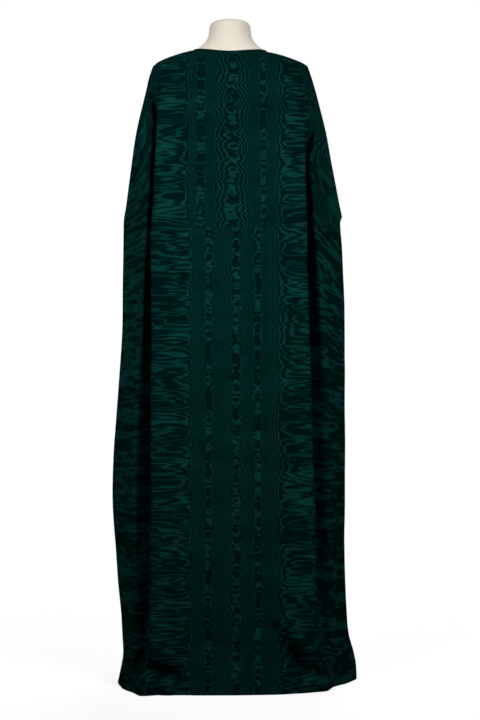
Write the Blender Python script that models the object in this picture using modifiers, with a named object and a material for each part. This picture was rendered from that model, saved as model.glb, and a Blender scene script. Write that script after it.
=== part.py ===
"""A floor-length moire kaftan hanging on a limbless dress form.

Metres, +Z up. The origin is on the floor below the middle of the neck. The garment's
back faces -Y and its front faces +Y. The cloth is lofted through level rings:
each ring is four quarters (back and front, left and right), and each quarter
runs from the middle of its panel, over the crease that bounds the flat middle,
down into a hanging fold and out again to the side edge of the wing.
"""

import math
from collections import namedtuple

import bmesh
import bpy
from mathutils import Vector

# Cloth
CLOTH = 0.0016
SEAM_GAP = 0.0003
FLOOR_LIFT = 0.0011
BACK_SEAM_HEIGHT = 1.059
SLIT_BOTTOM = 0.860
SLIT_TOP = 1.097
SLIT_GAPE = 0.018
CHEST_RING_HEIGHT = 1.455

# Neckline, measured on the cloth's middle surface
NECK_HALF_WIDTH = 0.088
NECK_BACK_DEPTH = 0.062
NECK_FRONT_DEPTH = 0.094
NECK_BACK_HEIGHT = 1.4785
NECK_FRONT_HEIGHT = 1.392

# The two shoulder lines: how high each starts at the neckline, and the power of
# its slope out to the chest ring (a smaller one stays level for longer).
Shoulder = namedtuple("Shoulder", "side neck_height slope")
SHOULDERS = (
    Shoulder(-1, 1.4925, 0.63),
    Shoulder(+1, 1.4905, 0.80),
)
MIDDLE_SLOPE = 0.70
FRONT_RING_DROP = 0.085
FRONT_DROP_STARTS = 1.240
BINDING_RADIUS = 0.0016

# Dress form and stand
FORM_CLEARANCE = 0.0004
FORM_RELIEF = 0.0030
FORM_NECK_HALF_WIDTH = 0.0510
FORM_TOP = 1.566
FORM_BOTTOM = 0.720
POLE_RADIUS = 0.0125
POLE_Y = 0.020
BASE_RADIUS = 0.130
BASE_THICKNESS = 0.010
HUB_RADIUS = 0.030
HUB_TOP = 0.040

# Half outlines of the worn garment at each height: how far the side edges reach
# left and right, how far the panels stand from the middle plane at their middle
# and, on the back, at their creases, and how far back the side edges swing.
Outline = namedtuple(
    "Outline", "height left right back back_left back_right front swing_left swing_right")
OUTLINES = (
    Outline(0.000, 0.262, 0.300, 0.209, 0.236, 0.172, 0.212, 0.060, 0.030),
    Outline(0.030, 0.256, 0.299, 0.200, 0.226, 0.166, 0.211, 0.050, 0.026),
    Outline(0.060, 0.252, 0.294, 0.190, 0.200, 0.164, 0.210, 0.036, 0.022),
    Outline(0.100, 0.255, 0.283, 0.184, 0.186, 0.162, 0.208, 0.022, 0.016),
    Outline(0.150, 0.259, 0.278, 0.179, 0.179, 0.160, 0.206, 0.012, 0.010),
    Outline(0.240, 0.268, 0.274, 0.172, 0.172, 0.157, 0.202, 0.006, 0.004),
    Outline(0.432, 0.281, 0.275, 0.160, 0.160, 0.151, 0.196, 0.000, 0.000),
    Outline(0.624, 0.271, 0.275, 0.152, 0.150, 0.145, 0.190, 0.000, 0.000),
    Outline(0.816, 0.258, 0.274, 0.145, 0.142, 0.139, 0.184, 0.000, 0.000),
    Outline(1.008, 0.255, 0.268, 0.138, 0.133, 0.132, 0.178, 0.000, 0.000),
    Outline(1.085, 0.254, 0.2635, 0.135, 0.128, 0.127, 0.172, 0.000, 0.000),
    Outline(1.097, 0.253, 0.2685, 0.134, 0.127, 0.126, 0.171, 0.000, 0.000),
    Outline(1.112, 0.250, 0.2650, 0.133, 0.126, 0.125, 0.171, 0.000, 0.000),
    Outline(1.200, 0.238, 0.247, 0.128, 0.119, 0.118, 0.167, 0.000, 0.000),
    Outline(1.296, 0.223, 0.230, 0.121, 0.108, 0.108, 0.149, 0.000, 0.000),
    Outline(1.392, 0.202, 0.207, 0.106, 0.088, 0.088, 0.111, 0.000, 0.000),
    Outline(1.430, 0.194, 0.195, 0.096, 0.076, 0.076, 0.096, 0.000, 0.000),
    Outline(1.470, 0.180, 0.181, 0.080, 0.062, 0.062, 0.080, 0.000, 0.000),
)

# The four deep folds that hang from the shoulders, a row for each: where the
# crease lies from the middle at the chest, at the hips and at the hem, how deep
# the cloth turns in, how far it tucks under the crease, where the fold starts
# and is full, and what share of it is left at the hem.
Fold = namedtuple("Fold", "face side chest_x hip_x hem_x depth tuck start full hem_share")
FOLDS = (
    Fold("back", -1, 0.168, 0.182, 0.181, 0.082, 0.010, 1.415, 1.300, 0.30),
    Fold("back", +1, 0.171, 0.180, 0.205, 0.074, 0.006, 1.370, 1.200, 0.50),
    Fold("front", -1, 0.150, 0.168, 0.182, 0.078, 0.008, 1.300, 1.020, 0.75),
    Fold("front", +1, 0.150, 0.164, 0.178, 0.074, 0.008, 1.290, 1.000, 0.75),
)
CREASE_CHEST_HEIGHT = 1.380
CREASE_HIP_HEIGHT = 1.030
HEM_SPREAD_HEIGHT = 0.115

# The ridge of each wing beside its fold: how far it lies from the crease towards
# the side edge, as a share, and how far it lies behind the crease.
Ridge = namedtuple("Ridge", "height left_share left_drop right_share right_drop")
RIDGES = (
    Ridge(0.00, 0.55, 0.110, 0.62, 0.120),
    Ridge(0.12, 0.50, 0.070, 0.55, 0.090),
    Ridge(0.30, 0.42, 0.046, 0.45, 0.058),
    Ridge(0.60, 0.40, 0.040, 0.42, 0.048),
    Ridge(0.85, 0.30, 0.032, 0.36, 0.040),
    Ridge(1.05, 0.19, 0.024, 0.24, 0.030),
    Ridge(1.20, 0.16, 0.018, 0.16, 0.018),
    Ridge(1.32, 0.18, 0.014, 0.15, 0.014),
)

# Creases where the hem buckles on the floor, from one end to the other across
# the panel, with the width and depth of the trough (a ridge has a minus depth).
Crease = namedtuple("Crease", "face x0 z0 x1 z1 width depth")
CREASES = (
    Crease("back", -0.200, 0.074, -0.140, 0.050, 0.015, 0.026),
    Crease("back", -0.205, 0.112, -0.120, 0.092, 0.020, -0.008),
    Crease("back", 0.088, 0.205, 0.104, 0.142, 0.022, 0.010),
    Crease("back", 0.104, 0.142, 0.156, 0.075, 0.020, 0.018),
    Crease("back", 0.156, 0.075, 0.192, 0.048, 0.017, 0.018),
    Crease("back", 0.120, 0.052, 0.175, 0.020, 0.018, -0.009),
    Crease("front", -0.170, 0.110, -0.090, 0.050, 0.020, 0.016),
    Crease("front", 0.100, 0.150, 0.175, 0.060, 0.022, 0.016),
)

# Where along a quarter ring its points fall: straight runs and round corners.
STRAIGHT_STEPS = (5, 2, 2, 1, 1)
CORNER_STEPS = (3, 3, 3, 2)
CORNER_CUTS = (0.011, 0.016, 0.014, 0.030)
EDGE_RUN = 0.018
OVAL_POWER = 2.5
OVAL_MIDDLE = 0.72

LOWER_RINGS = (0.000, 0.018, 0.036, 0.054, 0.072, 0.092, 0.120, 0.160, 0.220, 0.310,
               0.430, 0.560, 0.700, SLIT_BOTTOM, 0.910, 0.980, BACK_SEAM_HEIGHT)
UPPER_RINGS = (BACK_SEAM_HEIGHT, 1.084, SLIT_TOP, 1.113, 1.160, 1.210, 1.260, 1.300,
               1.340, 1.380, 1.420, CHEST_RING_HEIGHT)
SHOULDER_SHARES = (0.08, 0.28, 0.60, 1.0)

COLOURS = {
    "kaftan_green": ((0.002, 0.026, 0.023), 0.42, 0.0),
    "binding_green": ((0.004, 0.036, 0.028), 0.45, 0.0),
    "form_canvas": ((0.78, 0.74, 0.63), 0.85, 0.0),
    "stand_steel": ((0.30, 0.30, 0.31), 0.35, 0.9),
}


def clear_scene():
    for thing in list(bpy.data.objects):
        bpy.data.objects.remove(thing, do_unlink=True)


def smoothstep(low, high, value):
    share = min(1.0, max(0.0, (value - low) / (high - low)))
    return share * share * (3.0 - 2.0 * share)


def mix(a, b, share):
    return a + (b - a) * share


def along(rows, column, height):
    """The column's value at a height, on a smooth curve through the rows."""
    heights = [row.height for row in rows]
    values = [getattr(row, column) for row in rows]
    if height <= heights[0]:
        return values[0]
    if height >= heights[-1]:
        return values[-1]
    i = max(k for k in range(len(rows) - 1) if heights[k] <= height)

    def slope(k):
        low, high = max(k - 1, 0), min(k + 1, len(rows) - 1)
        return (values[high] - values[low]) / (heights[high] - heights[low])

    gap = heights[i + 1] - heights[i]
    t = (height - heights[i]) / gap
    a = (2 * t**3 - 3 * t**2 + 1) * values[i]
    b = (t**3 - 2 * t**2 + t) * gap * slope(i)
    c = (-2 * t**3 + 3 * t**2) * values[i + 1]
    d = (t**3 - t**2) * gap * slope(i + 1)
    return a + b + c + d


def fold_of(face, side):
    return next(fold for fold in FOLDS if fold.face == face and fold.side == side)


def fold_share(fold, height):
    """How much of the fold is there: none at its start, all of it below."""
    hanging = 1.0 - smoothstep(fold.full, fold.start, height)
    spread = mix(fold.hem_share, 1.0, smoothstep(0.0, HEM_SPREAD_HEIGHT, height))
    return hanging * spread


def crease_x(fold, height):
    if height > CREASE_HIP_HEIGHT:
        share = (height - CREASE_HIP_HEIGHT) / (CREASE_CHEST_HEIGHT - CREASE_HIP_HEIGHT)
        return mix(fold.hip_x, fold.chest_x, min(share, 1.0))
    return mix(fold.hem_x, fold.hip_x, height / CREASE_HIP_HEIGHT)


def folded_corners(face, side, height):
    """Corners of a folded quarter ring in plan, x outwards and y away from the
    middle plane: panel middle, crease, fold bottom, wing ridge, edge turn, edge."""
    fold = fold_of(face, side)
    word = "left" if side < 0 else "right"
    reach = along(OUTLINES, word, height)
    middle = along(OUTLINES, face, height)
    if face == "back":
        edge = along(OUTLINES, "back_" + word, height)
    else:
        edge = middle * 0.90
    x = crease_x(fold, height)
    return (
        Vector((0.0, middle)),
        Vector((x, edge)),
        Vector((x - fold.tuck, edge - fold.depth)),
        Vector((mix(x, reach, along(RIDGES, word + "_share", height)),
                edge - along(RIDGES, word + "_drop", height))),
        Vector((reach, EDGE_RUN)),
        Vector((reach, 0.0)),
    )


def oval_point(reach, middle, column):
    """A point of a quarter ring that has no fold: a rounded oblong."""
    first = STRAIGHT_STEPS[0]
    power = 0.5 * OVAL_POWER
    if column <= first:
        turn = math.asin((OVAL_MIDDLE * column / first) ** power)
    else:
        turn = mix(math.asin(OVAL_MIDDLE**power), 0.5 * math.pi,
                   (column - first) / (QUARTER - first))
    return Vector((reach * math.sin(turn) ** (1.0 / power),
                   middle * max(0.0, math.cos(turn)) ** (1.0 / power)))


def plan_points(face, side, height):
    """The points of a quarter ring in plan, partly folded where a fold starts."""
    corners = folded_corners(face, side, height)
    middle, crease = corners[0], corners[1]
    share = fold_share(fold_of(face, side), height)
    points = []
    for column, point in enumerate(rounded(corners)):
        if point.x < crease.x and column < STRAIGHT_STEPS[0] + CORNER_STEPS[0]:
            flat = point.x / crease.x
            point = point + Vector((0.0, (middle.y - crease.y) * (flat - flat * flat)))
        plain = oval_point(corners[-1].x, middle.y, column)
        points.append(plain.lerp(point, share))
    return points


def rounded(corners):
    """Points along the corners' line, with each inner corner rounded."""
    points = [corners[0]]
    start = corners[0]
    for k, cut in enumerate(CORNER_CUTS):
        before, corner, after = corners[k], corners[k + 1], corners[k + 2]
        into = (corner - before)
        out = (after - corner)
        back = min(cut, 0.42 * into.length)
        ahead = min(cut, 0.42 * out.length)
        enter = corner - into.normalized() * back
        leave = corner + out.normalized() * ahead
        for n in range(1, STRAIGHT_STEPS[k] + 1):
            points.append(start.lerp(enter, n / STRAIGHT_STEPS[k]))
        for n in range(1, CORNER_STEPS[k] + 1):
            t = n / CORNER_STEPS[k]
            points.append(enter * (1 - t) ** 2 + corner * 2 * t * (1 - t) + leave * t**2)
        start = leave
    last = STRAIGHT_STEPS[-1]
    points += [start.lerp(corners[-1], n / last) for n in range(1, last + 1)]
    return points


QUARTER = sum(STRAIGHT_STEPS) + sum(CORNER_STEPS)


def crease_depth(face, x, height):
    """How far the buckles at the hem push the cloth in at a point."""
    total = 0.0
    for crease in CREASES:
        if crease.face != face:
            continue
        start = Vector((crease.x0, crease.z0))
        run = Vector((crease.x1, crease.z1)) - start
        place = Vector((x, height)) - start
        share = min(1.0, max(0.0, place.dot(run) / run.length_squared))
        away = (place - run * share).length / crease.width
        total += crease.depth * math.exp(-away * away)
    return total


def ring_height(face, column, level):
    """The front's rings dip in the middle, so that they end at its lower neckline."""
    if face == "back":
        return level
    dip = smoothstep(FRONT_DROP_STARTS, CHEST_RING_HEIGHT, level)
    middle = math.cos(0.5 * math.pi * min(1.0, column / (0.62 * QUARTER))) ** 2
    return level - FRONT_RING_DROP * dip * middle


def hung_point(face, side, column, level):
    """A point of the hanging cloth, on a level ring from the hem to the chest."""
    outward = -1.0 if face == "back" else 1.0
    height = ring_height(face, column, level)
    plan = plan_points(face, side, height)[column]
    x, y = side * plan.x, plan.y
    y -= crease_depth(face, x, height) * (1.0 - smoothstep(0.6, 0.8, column / QUARTER))
    swing = along(OUTLINES, "swing_left" if side < 0 else "swing_right", height)
    reach = along(OUTLINES, "left" if side < 0 else "right", height)
    swing *= smoothstep(0.55, 1.0, plan.x / reach)
    return Vector((x, outward * y - swing, max(height, FLOOR_LIFT)))


def shoulder_of(side):
    return next(shoulder for shoulder in SHOULDERS if shoulder.side == side)


def neck_point(face, side, column):
    """A point of the neckline."""
    turn = 0.5 * math.pi * (column / QUARTER) ** 0.9
    depth = NECK_BACK_DEPTH if face == "back" else NECK_FRONT_DEPTH
    low = NECK_BACK_HEIGHT if face == "back" else NECK_FRONT_HEIGHT
    outward = -1.0 if face == "back" else 1.0
    lift = math.sin(turn) ** (1.5 if face == "back" else 1.9)
    return Vector((
        side * NECK_HALF_WIDTH * math.sin(turn),
        outward * depth * math.cos(turn) ** 0.9,
        mix(low, shoulder_of(side).neck_height, lift),
    ))


def shoulder_point(face, side, column, share):
    """A point over the shoulder, from the chest ring (0) to the neckline (1)."""
    low = hung_point(face, side, column, CHEST_RING_HEIGHT)
    high = neck_point(face, side, column)
    climb = share ** mix(MIDDLE_SLOPE, shoulder_of(side).slope, column / QUARTER)
    point = low.lerp(high, share)
    point.z = mix(low.z, high.z, climb)
    return point


def ring(face, point_at):
    """A panel's ring, from its left edge through the middle to its right edge."""
    left = [point_at(face, -1, column) for column in range(QUARTER, 0, -1)]
    right = [point_at(face, +1, column) for column in range(QUARTER + 1)]
    return left + right


def hung_ring(face, level):
    return ring(face, lambda f, s, c: hung_point(f, s, c, level))


def shoulder_ring(face, share):
    return ring(face, lambda f, s, c: shoulder_point(f, s, c, share))


def part_edges(points, face, gape=0.0):
    """Pulls a ring's two end points back, so that the panels stay a seam apart,
    and further in the hand slits, which gape."""
    outward = -1.0 if face == "back" else 1.0
    for end, inner in ((0, 1), (-1, -2)):
        points[end].y += outward * 0.5 * (SEAM_GAP + gape)
        points[inner].y += outward * 0.35 * gape
    return points


def slit_opening(level):
    """How far the hand slit gapes at a height: most in its upper part."""
    if not SLIT_BOTTOM < level < SLIT_TOP:
        return 0.0
    share = (SLIT_TOP - level) / (SLIT_TOP - SLIT_BOTTOM)
    return SLIT_GAPE * math.sin(math.pi * share**0.7)


def cloth_rings(face, levels, shares=()):
    rings = []
    for level in levels:
        rings.append(part_edges(hung_ring(face, level), face, slit_opening(level)))
    for share in shares:
        rings.append(part_edges(shoulder_ring(face, share), face))
    return rings


def skin(name, rings, closed=False):
    """A named surface through rings of equal length."""
    mesh = bpy.data.meshes.new(name)
    shape = bmesh.new()
    rows = [[shape.verts.new(point) for point in ring_points] for ring_points in rings]
    for low, high in zip(rows, rows[1:]):
        count = len(low)
        for k in range(count if closed else count - 1):
            after = (k + 1) % count
            shape.faces.new((low[k], low[after], high[after], high[k]))
    if closed:
        shape.faces.new(list(reversed(rows[0])))
        shape.faces.new(rows[-1])
    shape.to_mesh(mesh)
    shape.free()
    thing = bpy.data.objects.new(name, mesh)
    return thing


def finish(thing, colour, collection):
    tint, roughness, metallic = COLOURS[colour]
    material = bpy.data.materials.get(colour) or bpy.data.materials.new(colour)
    material.use_nodes = True
    shader = material.node_tree.nodes["Principled BSDF"]
    shader.inputs["Base Color"].default_value = (*tint, 1.0)
    shader.inputs["Roughness"].default_value = roughness
    shader.inputs["Metallic"].default_value = metallic
    material.diffuse_color = (*tint, 1.0)
    thing.data.materials.append(material)
    if thing.type == "MESH":
        thing.data.shade_smooth()
    if thing.name not in collection.objects:
        collection.objects.link(thing)
    return thing


def give_wall(thing):
    wall = thing.modifiers.new("wall", "SOLIDIFY")
    wall.thickness = CLOTH
    wall.offset = 0.0
    wall.use_even_offset = False
    wall.use_quality_normals = True


def flip(thing):
    shape = bmesh.new()
    shape.from_mesh(thing.data)
    bmesh.ops.reverse_faces(shape, faces=shape.faces[:])
    shape.to_mesh(thing.data)
    shape.free()


def make_back(collection):
    seam = BACK_SEAM_HEIGHT
    lower_levels = (*LOWER_RINGS[:-1], seam - 0.5 * SEAM_GAP)
    upper_levels = (seam + 0.5 * SEAM_GAP, *UPPER_RINGS[1:])
    lower = skin("back_lower", cloth_rings("back", lower_levels))
    upper = skin("back_upper", cloth_rings("back", upper_levels, SHOULDER_SHARES))
    for panel in (lower, upper):
        give_wall(panel)
        finish(panel, "kaftan_green", collection)


def make_front(collection):
    levels = (*LOWER_RINGS[:-1], *UPPER_RINGS)
    panel = skin("front", cloth_rings("front", levels, SHOULDER_SHARES))
    flip(panel)
    give_wall(panel)
    finish(panel, "kaftan_green", collection)


def make_binding(collection):
    """A rolled strip of the same silk round the neckline, just above its edge."""
    columns = range(0, QUARTER + 1, 2)
    edge = [neck_point("back", +1, column) for column in columns]
    edge += [neck_point("front", +1, column) for column in reversed(columns[:-1])]
    edge += [neck_point("front", -1, column) for column in columns[1:]]
    edge += [neck_point("back", -1, column) for column in reversed(columns[1:-1])]
    curve = bpy.data.curves.new("neck_binding", "CURVE")
    curve.dimensions = "3D"
    curve.bevel_depth = BINDING_RADIUS
    curve.bevel_resolution = 1
    line = curve.splines.new("POLY")
    line.points.add(len(edge) - 1)
    line.use_cyclic_u = True
    lift = BINDING_RADIUS + SEAM_GAP + 0.5 * CLOTH
    for spot, point in zip(line.points, edge):
        inward = Vector((-point.x, -point.y, 0.0)).normalized()
        place = point + inward * 0.35 * lift + Vector((0.0, 0.0, 0.95 * lift))
        spot.co = (*place, 1.0)
    thing = bpy.data.objects.new("neck_binding", curve)
    finish(thing, "binding_green", collection)


# The torso at each height: half width, and how far its back and front stand out.
Torso = namedtuple("Torso", "height width back front")
TORSO = (
    Torso(0.720, 0.148, 0.098, 0.096),
    Torso(0.745, 0.158, 0.110, 0.106),
    Torso(0.860, 0.164, 0.120, 0.112),
    Torso(0.960, 0.146, 0.108, 0.106),
    Torso(1.080, 0.120, 0.090, 0.100),
    Torso(1.180, 0.136, 0.098, 0.126),
    Torso(1.280, 0.154, 0.104, 0.137),
    Torso(1.350, 0.168, 0.098, 0.112),
    Torso(1.410, 0.178, 0.086, 0.088),
)
TORSO_POWER = 2.3
TORSO_RINGS = (0.720, 0.728, 0.745, 0.800, 0.860, 0.910, 0.960, 1.020, 1.080, 1.130,
               1.180, 1.230, 1.280, 1.320, 1.350, 1.385, 1.410)
FORM_SHARES = (0.0, *SHOULDER_SHARES)
FORM_COLUMNS = (0, 2, 4, 5, 7, 9, 12, 15, 18, 22)

# The neck above the cloth: its half width as a share of the neck's, its height,
# and how round it already is instead of following the neckline.
Neck = namedtuple("Neck", "share height round")
NECK = (
    Neck(1.30, 1.5125, 0.55),
    Neck(1.10, 1.5200, 0.90),
    Neck(1.02, 1.5330, 1.00),
    Neck(0.99, 1.5440, 1.00),
    Neck(0.99, 1.5520, 1.00),
    Neck(0.94, 1.5575, 1.00),
    Neck(0.86, 1.5615, 1.00),
    Neck(0.69, 1.5648, 1.00),
    Neck(0.36, FORM_TOP, 1.00),
)


def form_ring(point_at):
    """A closed ring of the form, running anticlockwise from the middle back."""
    columns = FORM_COLUMNS
    back_right = [point_at("back", +1, column) for column in columns]
    front_right = [point_at("front", +1, column) for column in reversed(columns[:-1])]
    front_left = [point_at("front", -1, column) for column in columns[1:]]
    back_left = [point_at("back", -1, column) for column in reversed(columns[1:-1])]
    return back_right + front_right + front_left + back_left


def torso_point(face, side, column, level):
    turn = 0.5 * math.pi * column / QUARTER
    outward = -1.0 if face == "back" else 1.0
    power = 2.0 / TORSO_POWER
    return Vector((
        side * along(TORSO, "width", level) * math.sin(turn) ** power,
        outward * along(TORSO, face, level) * max(0.0, math.cos(turn)) ** power,
        ring_height(face, column, level),
    ))


def shoulder_normal(face, side, column, share):
    """The cloth's outward direction over the shoulder."""
    before, after = max(column - 1, 0), min(column + 1, QUARTER)
    low, high = max(share - 0.05, 0.0), min(share + 0.05, 1.0)
    across = (shoulder_point(face, side, after, share)
              - shoulder_point(face, side, before, share))
    upward = (shoulder_point(face, side, column, high)
              - shoulder_point(face, side, column, low))
    normal = across.cross(upward).normalized()
    return normal if normal.z > 0.0 else -normal


def under_shoulder(face, side, column, share):
    """A point of the form just under the cloth, which rests on its shoulder line."""
    away = FORM_RELIEF * (1.0 - smoothstep(0.45, 0.80, column / QUARTER))
    depth = 0.5 * CLOTH + FORM_CLEARANCE + away
    normal = shoulder_normal(face, side, column, share)
    if column == QUARTER:
        normal.y = 0.0
    return shoulder_point(face, side, column, share) - normal.normalized() * depth


def neck_column_point(face, side, column, row):
    turn = 0.5 * math.pi * column / QUARTER
    outward = -1.0 if face == "back" else 1.0
    radius = FORM_NECK_HALF_WIDTH * row.share
    around = Vector((side * radius * math.sin(turn), outward * radius * math.cos(turn), row.height))
    rim = under_shoulder(face, side, column, 1.0)
    rim.x *= radius / NECK_HALF_WIDTH
    rim.y *= radius / NECK_HALF_WIDTH
    rim.z = mix(rim.z, row.height, row.round)
    return rim.lerp(around, row.round)


def make_form(collection):
    rings = [form_ring(lambda f, s, c, z=z: torso_point(f, s, c, z)) for z in TORSO_RINGS]
    rings += [form_ring(lambda f, s, c, w=w: under_shoulder(f, s, c, w)) for w in FORM_SHARES]
    rings += [form_ring(lambda f, s, c, r=r: neck_column_point(f, s, c, r)) for r in NECK]
    form = skin("dress_form", rings, closed=True)
    finish(form, "form_canvas", collection)


def turned(name, profile, colour, collection, steps=48):
    """A solid turned about the pole's axis, from a profile of (radius, height)."""
    mesh = bpy.data.meshes.new(name)
    shape = bmesh.new()
    spots = [shape.verts.new((radius, 0.0, height)) for radius, height in profile]
    for a, b in zip(spots, spots[1:]):
        shape.edges.new((a, b))
    shape.to_mesh(mesh)
    shape.free()
    thing = bpy.data.objects.new(name, mesh)
    thing.location = (0.0, POLE_Y, 0.0)
    screw = thing.modifiers.new("turn", "SCREW")
    screw.steps = steps
    screw.render_steps = steps
    screw.use_merge_vertices = True
    screw.merge_threshold = 0.00001
    return finish(thing, colour, collection)


def make_stand(collection):
    bevel = 0.002
    base = (
        (0.0, HUB_TOP),
        (HUB_RADIUS - bevel, HUB_TOP),
        (HUB_RADIUS, HUB_TOP - bevel),
        (HUB_RADIUS, BASE_THICKNESS + 0.004),
        (HUB_RADIUS + 0.004, BASE_THICKNESS),
        (BASE_RADIUS - bevel, BASE_THICKNESS),
        (BASE_RADIUS, BASE_THICKNESS - bevel),
        (BASE_RADIUS, 0.0),
        (0.0, 0.0),
    )
    turned("stand_base", base, "stand_steel", collection)
    pole = (
        (0.0, FORM_BOTTOM - SEAM_GAP),
        (POLE_RADIUS, FORM_BOTTOM - SEAM_GAP),
        (POLE_RADIUS, HUB_TOP + SEAM_GAP),
        (0.0, HUB_TOP + SEAM_GAP),
    )
    turned("stand_pole", pole, "stand_steel", collection, steps=24)


def main():
    clear_scene()
    collection = bpy.data.collections.new("kaftan_on_dress_form")
    bpy.context.scene.collection.children.link(collection)
    make_back(collection)
    make_front(collection)
    make_binding(collection)
    make_form(collection)
    make_stand(collection)


main()
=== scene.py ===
"""The looks of a floor-length moire kaftan that hangs on a dress form.

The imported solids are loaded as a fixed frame. Each cloth panel is made again as
a thin shell on its solid's form, with finer rings, softer creases and its flat
cut as a UV map, and gets a watered silk material. Metres, +Z up.
"""

import math
from collections import namedtuple

import bpy
import numpy as np
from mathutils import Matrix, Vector


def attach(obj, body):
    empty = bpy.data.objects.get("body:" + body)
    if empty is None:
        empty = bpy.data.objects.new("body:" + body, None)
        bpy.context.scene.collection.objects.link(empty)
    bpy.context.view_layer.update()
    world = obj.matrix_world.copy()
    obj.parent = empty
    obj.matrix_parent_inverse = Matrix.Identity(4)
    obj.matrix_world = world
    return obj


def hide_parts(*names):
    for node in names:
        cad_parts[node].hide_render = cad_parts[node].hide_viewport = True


bl_info = {
    "name": "Moire kaftan",
    "version": (1, 0, 0),
    "blender": (4, 5, 0),
    "location": "3D View > Sidebar > Kaftan",
    "description": "Makes a moire kaftan on a dress form, with its stage",
    "category": "Object",
}

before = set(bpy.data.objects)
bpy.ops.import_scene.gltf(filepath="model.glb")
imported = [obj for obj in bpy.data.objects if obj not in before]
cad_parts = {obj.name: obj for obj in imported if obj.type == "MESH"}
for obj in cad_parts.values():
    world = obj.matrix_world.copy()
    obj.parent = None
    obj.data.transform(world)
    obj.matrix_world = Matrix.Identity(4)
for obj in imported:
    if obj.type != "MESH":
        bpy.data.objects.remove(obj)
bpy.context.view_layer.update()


def table(kind, *rows):
    """Rows of values as named tuples of one kind."""
    return tuple(kind(*row) for row in rows)


# The garment's heights and measures, as in the solids.
FLOOR_LIFT = 0.0011
BACK_SEAM_HEIGHT = 1.059
SLIT_BOTTOM = 0.860
SLIT_TOP = 1.097
SLIT_GAPE = 0.018
CHEST_RING_HEIGHT = 1.455
NECK_HALF_WIDTH = 0.088
NECK_BACK_DEPTH = 0.062
NECK_FRONT_DEPTH = 0.094
NECK_BACK_HEIGHT = 1.4785
NECK_FRONT_HEIGHT = 1.392
FRONT_RING_DROP = 0.085
FRONT_DROP_STARTS = 1.240
FRONT_DIP_SHARE = 0.62
FRONT_EDGE_SHARE = 0.90
OUTWARD = {"back": -1.0, "front": 1.0}

# The two shoulder lines: how high each starts at the neckline, and the power of
# its slope out to the chest ring.
Shoulder = namedtuple("Shoulder", "side neck_height slope")
SHOULDERS = table(
    Shoulder,
    (-1, 1.4925, 0.63),
    (+1, 1.4905, 0.80),
)
MIDDLE_SLOPE = 0.70

# Half outlines of the worn garment at each height, and how far its sides swing back.
Outline = namedtuple(
    "Outline", "height left right back back_left back_right front swing_left swing_right")
OUTLINES = table(
    Outline,
    (0.000, 0.262, 0.300, 0.209, 0.236, 0.172, 0.212, 0.060, 0.030),
    (0.030, 0.256, 0.299, 0.200, 0.226, 0.166, 0.211, 0.050, 0.026),
    (0.060, 0.252, 0.294, 0.190, 0.200, 0.164, 0.210, 0.036, 0.022),
    (0.100, 0.255, 0.283, 0.184, 0.186, 0.162, 0.208, 0.022, 0.016),
    (0.150, 0.259, 0.278, 0.179, 0.179, 0.160, 0.206, 0.012, 0.010),
    (0.240, 0.268, 0.274, 0.172, 0.172, 0.157, 0.202, 0.006, 0.004),
    (0.432, 0.281, 0.275, 0.160, 0.160, 0.151, 0.196, 0.000, 0.000),
    (0.624, 0.271, 0.275, 0.152, 0.150, 0.145, 0.190, 0.000, 0.000),
    (0.816, 0.258, 0.274, 0.145, 0.142, 0.139, 0.184, 0.000, 0.000),
    (1.008, 0.255, 0.268, 0.138, 0.133, 0.132, 0.178, 0.000, 0.000),
    (1.085, 0.254, 0.2635, 0.135, 0.128, 0.127, 0.172, 0.000, 0.000),
    (1.097, 0.253, 0.2685, 0.134, 0.127, 0.126, 0.171, 0.000, 0.000),
    (1.112, 0.250, 0.2650, 0.133, 0.126, 0.125, 0.171, 0.000, 0.000),
    (1.200, 0.238, 0.247, 0.128, 0.119, 0.118, 0.167, 0.000, 0.000),
    (1.296, 0.223, 0.230, 0.121, 0.108, 0.108, 0.149, 0.000, 0.000),
    (1.392, 0.202, 0.207, 0.106, 0.088, 0.088, 0.111, 0.000, 0.000),
    (1.430, 0.194, 0.195, 0.096, 0.076, 0.076, 0.096, 0.000, 0.000),
    (1.470, 0.180, 0.181, 0.080, 0.062, 0.062, 0.080, 0.000, 0.000),
)

# The four deep folds that hang from the shoulders. At the hem they open, so a fold's
# bottom lies beyond its crease there, by the open tuck.
Fold = namedtuple("Fold", "face side chest_x hip_x hem_x depth tuck start full hem_share")
FOLDS = table(
    Fold,
    ("back", -1, 0.168, 0.182, 0.181, 0.082, 0.010, 1.415, 1.300, 0.30),
    ("back", +1, 0.171, 0.180, 0.205, 0.074, 0.006, 1.370, 1.200, 0.50),
    ("front", -1, 0.150, 0.168, 0.182, 0.078, 0.008, 1.300, 1.020, 0.75),
    ("front", +1, 0.150, 0.164, 0.178, 0.074, 0.008, 1.290, 1.000, 0.75),
)
OPEN_TUCK = -0.010
OPEN_TUCK_HEIGHTS = (0.08, 0.30)
CREASE_CHEST_HEIGHT = 1.380
CREASE_HIP_HEIGHT = 1.030
HEM_SPREAD_HEIGHT = 0.115

# The ridge of each wing beside its fold: how far it lies from the crease towards
# the side edge, as a share, and how far it lies behind the crease.
Ridge = namedtuple("Ridge", "height left_share left_drop right_share right_drop")
RIDGES = table(
    Ridge,
    (0.00, 0.55, 0.110, 0.62, 0.120),
    (0.12, 0.50, 0.070, 0.55, 0.090),
    (0.30, 0.42, 0.046, 0.45, 0.058),
    (0.60, 0.40, 0.040, 0.42, 0.048),
    (0.85, 0.30, 0.032, 0.36, 0.040),
    (1.05, 0.19, 0.024, 0.24, 0.030),
    (1.20, 0.16, 0.018, 0.16, 0.018),
    (1.32, 0.18, 0.014, 0.15, 0.014),
)

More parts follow.
